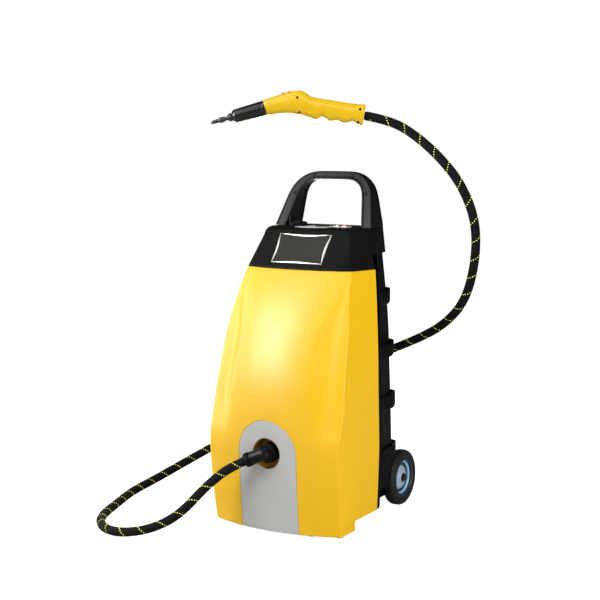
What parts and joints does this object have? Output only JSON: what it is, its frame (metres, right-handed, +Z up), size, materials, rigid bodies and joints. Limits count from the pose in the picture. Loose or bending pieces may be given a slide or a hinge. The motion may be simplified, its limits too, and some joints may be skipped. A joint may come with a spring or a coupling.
{
  "type": "steam cleaner",
  "caption": "Wheeled steam cleaner with a tall yellow casing, carrying handle, boiler and water tank inside, and a steam hose that ends in a hand gun.",
  "frame": {"origin": "on the floor, under the middle of the machine's and gun's box, hose left out", "axes": "+Z up, -Y is the front with the hose socket, +X is to the right of someone facing the front"},
  "size_m": [0.9118, 0.7283, 1.1057],
  "materials": {
    "yellow_shell": "smooth moulded, slightly glossy",
    "yellow_gun": "smooth moulded, semi gloss",
    "black_plastic": "fine grained moulding",
    "silver_plastic": "satin silver paint",
    "badge_grey": "smooth dark grey",
    "bright_trim": "satin bright trim",
    "steel": "zinc plated",
    "stainless": "brushed",
    "brass": "turned",
    "copper": "drawn tube",
    "tyre_rubber": "soft matt",
    "rim_paint": "blue grey enamel",
    "foot_rubber": "pale moulded",
    "insulation": "glass fibre felt",
    "tank_plastic": "translucent blow moulded",
    "board_green": "circuit board",
    "silicone": "flexible tube",
    "hose_textile": "braided cover with yellow flecks",
    "red_plastic": "translucent rocker",
    "white_plastic": "moulded",
    "gauge_glass": "clear",
    "rubber_black": "moulded"
  },
  "bodies": {
    "machine": {"axle": "steel", "axle_brackets": "steel", "axle_nuts": "steel", "badge_bezel": "bright_trim", "badge_plate": "badge_grey", "base_plate": "steel", "boiler_jacket": "insulation", "boiler_vessel": "stainless", "case_screws": "steel", "control_board": "board_green", "control_plate": "silver_plastic", "drain_valve": "brass", "feed_pump": "steel", "feet": "foot_rubber", "filler_neck": "black_plastic", "front_shell": "yellow_shell", "gauge_body": "black_plastic", "gauge_lens": "gauge_glass", "gun_ferrule": "black_plastic", "handle_front": "black_plastic", "handle_rear": "black_plastic", "handle_screws": "steel", "heating_element": "stainless", "hose": "hose_textile", "hose_clamp": "black_plastic", "hose_elbow": "black_plastic", "hose_hook": "steel", "hose_nut": "black_plastic", "mains_gland": "rubber_black", "pressure_switch": "black_plastic", "rear_shell": "black_plastic", "safety_valve": "brass", "silver_panel": "silver_plastic", "socket_well": "yellow_shell", "steam_pipe": "copper", "steam_socket": "brass", "steam_solenoid": "brass", "switch_frames": "white_plastic", "top_housing": "black_plastic", "water_tank": "tank_plastic", "water_tubes": "silicone"},
    "wheel_left": {"tyre_left": "tyre_rubber", "rim_left": "rim_paint"},
    "wheel_right": {"tyre_right": "tyre_rubber", "rim_right": "rim_paint"},
    "cap_seal": {"cap_gasket": "rubber_black"},
    "filler_cap": {"filler_cap": "black_plastic"},
    "power_switch": {"power_rocker": "red_plastic"},
    "heater_switch": {"heater_rocker": "red_plastic"},
    "needle": {"gauge_needle": "red_plastic"},
    "drain_lever": {"drain_lever": "red_plastic"},
    "gun": {"gun_shell_left": "yellow_gun", "gun_shell_right": "yellow_gun", "gun_screws": "steel", "gun_barrel": "black_plastic", "lance_tube": "steel", "gun_valve": "brass"},
    "nozzle": {"nozzle_tip": "steel"},
    "steam_button": {"steam_button": "red_plastic"},
    "water_button": {"water_button": "red_plastic"}
  },
  "joints": [
    {"name": "wheel_left_spin", "type": "hinge", "parent": "machine", "child": "wheel_left", "pos_m": [-0.157, 0.177, 0.075], "axis": [1, 0, 0], "continuous": true},
    {"name": "wheel_right_spin", "type": "hinge", "parent": "machine", "child": "wheel_right", "pos_m": [0.157, 0.177, 0.075], "axis": [1, 0, 0], "continuous": true},
    {"name": "cap_lift", "type": "slide", "parent": "machine", "child": "cap_seal", "axis": [0, 0, 1], "range_m": [0, 0.06]},
    {"name": "cap_turn", "type": "hinge", "parent": "cap_seal", "child": "filler_cap", "pos_m": [-0.062, 0.01, 0.764], "axis": [0, 0, 1], "range_deg": [0, 90]},
    {"name": "power_rock", "type": "hinge", "parent": "machine", "child": "power_switch", "pos_m": [0.054, 0.02, 0.7575], "axis": [1, 0, 0], "range_deg": [0, 12]},
    {"name": "heater_rock", "type": "hinge", "parent": "machine", "child": "heater_switch", "pos_m": [0.076, 0.02, 0.7575], "axis": [1, 0, 0], "range_deg": [0, 12]},
    {"name": "needle_turn", "type": "hinge", "parent": "machine", "child": "needle", "pos_m": [0.008, 0.016, 0.7573], "axis": [0, 0, -1], "range_deg": [0, 270], "stiffness_Nm_per_rad": 0.00005},
    {"name": "drain_turn", "type": "hinge", "parent": "machine", "child": "drain_lever", "pos_m": [0.06, 0.213, 0.0713], "axis": [0, 0, 1], "range_deg": [0, 90]},
    {"name": "gun_swivel", "type": "hinge", "parent": "machine", "child": "gun", "pos_m": [0.142, 0.001, 1.042], "axis": [0.8472, 0.4993, -0.1815], "range_deg": [-150, 150]},
    {"name": "nozzle_twist", "type": "hinge", "parent": "gun", "child": "nozzle", "pos_m": [-0.16715, -0.18443, 1.0326], "axis": [-0.826, -0.4963, -0.2672], "range_deg": [0, 90]},
    {"name": "steam_press", "type": "slide", "parent": "gun", "child": "steam_button", "axis": [0.2079, 0.1249, -0.9701], "range_m": [0, 0.0018], "stiffness_N_per_m": 400, "springref_m": -0.001},
    {"name": "water_press", "type": "slide", "parent": "gun", "child": "water_button", "axis": [0.2079, 0.1249, -0.9701], "range_m": [0, 0.0018], "stiffness_N_per_m": 400, "springref_m": -0.001}
  ]
}
